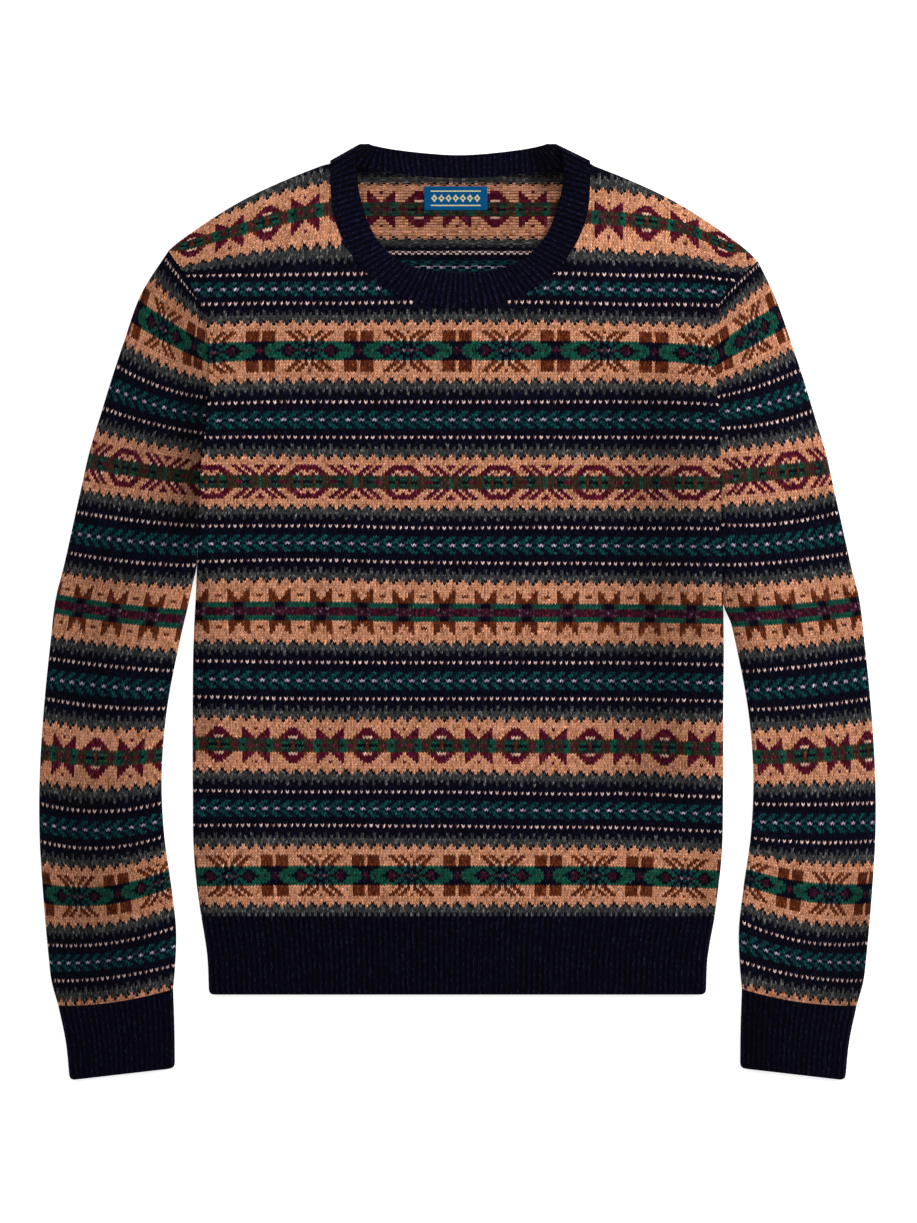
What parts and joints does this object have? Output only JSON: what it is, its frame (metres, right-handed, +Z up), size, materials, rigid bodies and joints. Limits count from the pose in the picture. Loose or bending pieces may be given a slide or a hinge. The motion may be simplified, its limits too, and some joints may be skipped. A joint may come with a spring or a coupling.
{
  "type": "fair isle jumper",
  "caption": "Crew-neck knitted jumper with banded fair isle colourwork, ribbed neckband, cuffs and hem, lying flat on its back with its sleeves beside it.",
  "frame": {"origin": "bottom centre of the whole garment's box, on the surface that it lies on", "axes": "+X to the wearer's left, +Y from the hem towards the neck, +Z up from the surface, with the front of the garment upwards"},
  "size_m": [0.7032, 0.7876, 0.0078],
  "materials": {
    "fair_isle_knit": "soft brushed wool, stranded colourwork in navy, peach, grey heather, green, teal, burgundy and brown",
    "rib_knit": "ribbed wool, navy",
    "woven_label": "woven satin label, plain blue"
  },
  "bodies": {
    "root": {"front_panel": "fair_isle_knit", "back_panel": "fair_isle_knit", "sleeve_left": "fair_isle_knit", "sleeve_right": "fair_isle_knit", "neckband": "rib_knit", "hem_rib_front": "rib_knit", "hem_rib_back": "rib_knit", "cuff_left": "rib_knit", "cuff_right": "rib_knit", "neck_label": "woven_label"}
  },
  "joints": []
}
